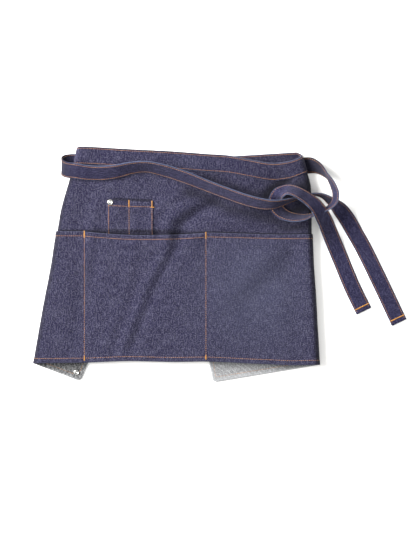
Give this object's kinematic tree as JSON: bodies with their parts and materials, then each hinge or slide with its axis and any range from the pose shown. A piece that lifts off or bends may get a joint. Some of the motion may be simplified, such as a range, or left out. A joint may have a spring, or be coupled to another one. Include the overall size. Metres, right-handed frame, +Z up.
{
  "type": "waist apron",
  "caption": "Denim waist apron with hem pockets, a small pen pocket and long ties, lying flat with its sides folded behind and the ties half-knotted at the right front.",
  "frame": {"origin": "middle of the bounding box's base, on the surface the apron lies on", "axes": "lying on its back: +X to the right of the front as seen from above, +Y from the hem to the waist, +Z up out of the front"},
  "size_m": [0.5706, 0.3562, 0.0498],
  "materials": {
    "denim": "matte indigo denim twill",
    "band_denim": "matte indigo denim twill",
    "tie_denim": "matte indigo denim twill",
    "rivet_metal": "satin nickel-coloured"
  },
  "bodies": {
    "root": {"apron_panel": "denim", "pocket_panel": "denim", "pen_pocket": "denim", "waistband": "band_denim", "right_tie": "tie_denim", "left_tie": "tie_denim", "pen_pocket_rivet": "rivet_metal", "corner_rivet": "rivet_metal"}
  },
  "joints": []
}
